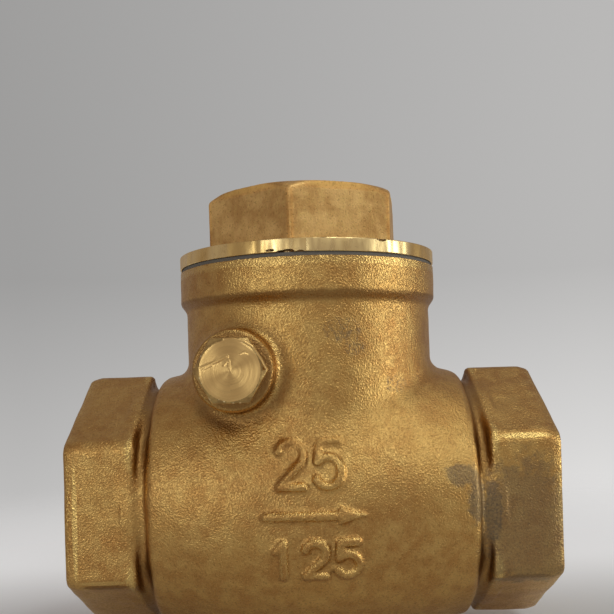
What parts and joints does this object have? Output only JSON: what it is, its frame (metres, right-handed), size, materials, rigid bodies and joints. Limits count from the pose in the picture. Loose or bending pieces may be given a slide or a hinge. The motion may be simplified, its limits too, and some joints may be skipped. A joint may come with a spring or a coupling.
{
  "type": "swing check valve",
  "caption": "Brass swing check valve with hexagonal threaded ends, a screw cap over the neck and a hinged clapper that lets flow pass one way.",
  "frame": {"origin": "centre of the inlet mouth, on the pipe's axis", "axes": "+X is the direction of flow along the pipe's axis, +Z points from the pipe's axis to the cap, and the hinge pin's plug is on the -Y side"},
  "size_m": [0.0789, 0.0535, 0.0776],
  "materials": {
    "cast_brass": "bead-blasted casting",
    "cap_brass": "blasted hexagon with a turned flange",
    "turned_brass": "turned and milled",
    "arm_brass": "as cast, faces milled",
    "gasket_fibre": "grey fibre sheet",
    "seal_rubber": "moulded black rubber",
    "stainless": "drawn stainless steel"
  },
  "bodies": {
    "housing": {"valve_body": "cast_brass", "cap": "cap_brass", "cap_gasket": "gasket_fibre", "pin_plug": "turned_brass", "plug_washer": "gasket_fibre"},
    "swing": {"hinge_arm": "arm_brass"},
    "clapper": {"disc": "turned_brass", "disc_seal": "seal_rubber", "seal_retainer": "turned_brass", "retainer_screw": "stainless", "disc_washer": "turned_brass", "disc_nut": "turned_brass", "split_pin": "stainless"},
    "pin": {"hinge_pin": "stainless"}
  },
  "joints": [
    {"name": "arm_swing", "type": "hinge", "parent": "housing", "child": "swing", "pos_m": [0.02775, 0, 0.0223], "axis": [0, -1, 0], "range_deg": [0, 60]},
    {"name": "disc_spin", "type": "hinge", "parent": "swing", "child": "clapper", "pos_m": [0.02595, 0, 0], "axis": [0.9903, 0, 0.1392], "continuous": true},
    {"name": "pin_spin", "type": "hinge", "parent": "housing", "child": "pin", "pos_m": [0.02775, 0, 0.0223], "axis": [0, 1, 0], "continuous": true}
  ]
}
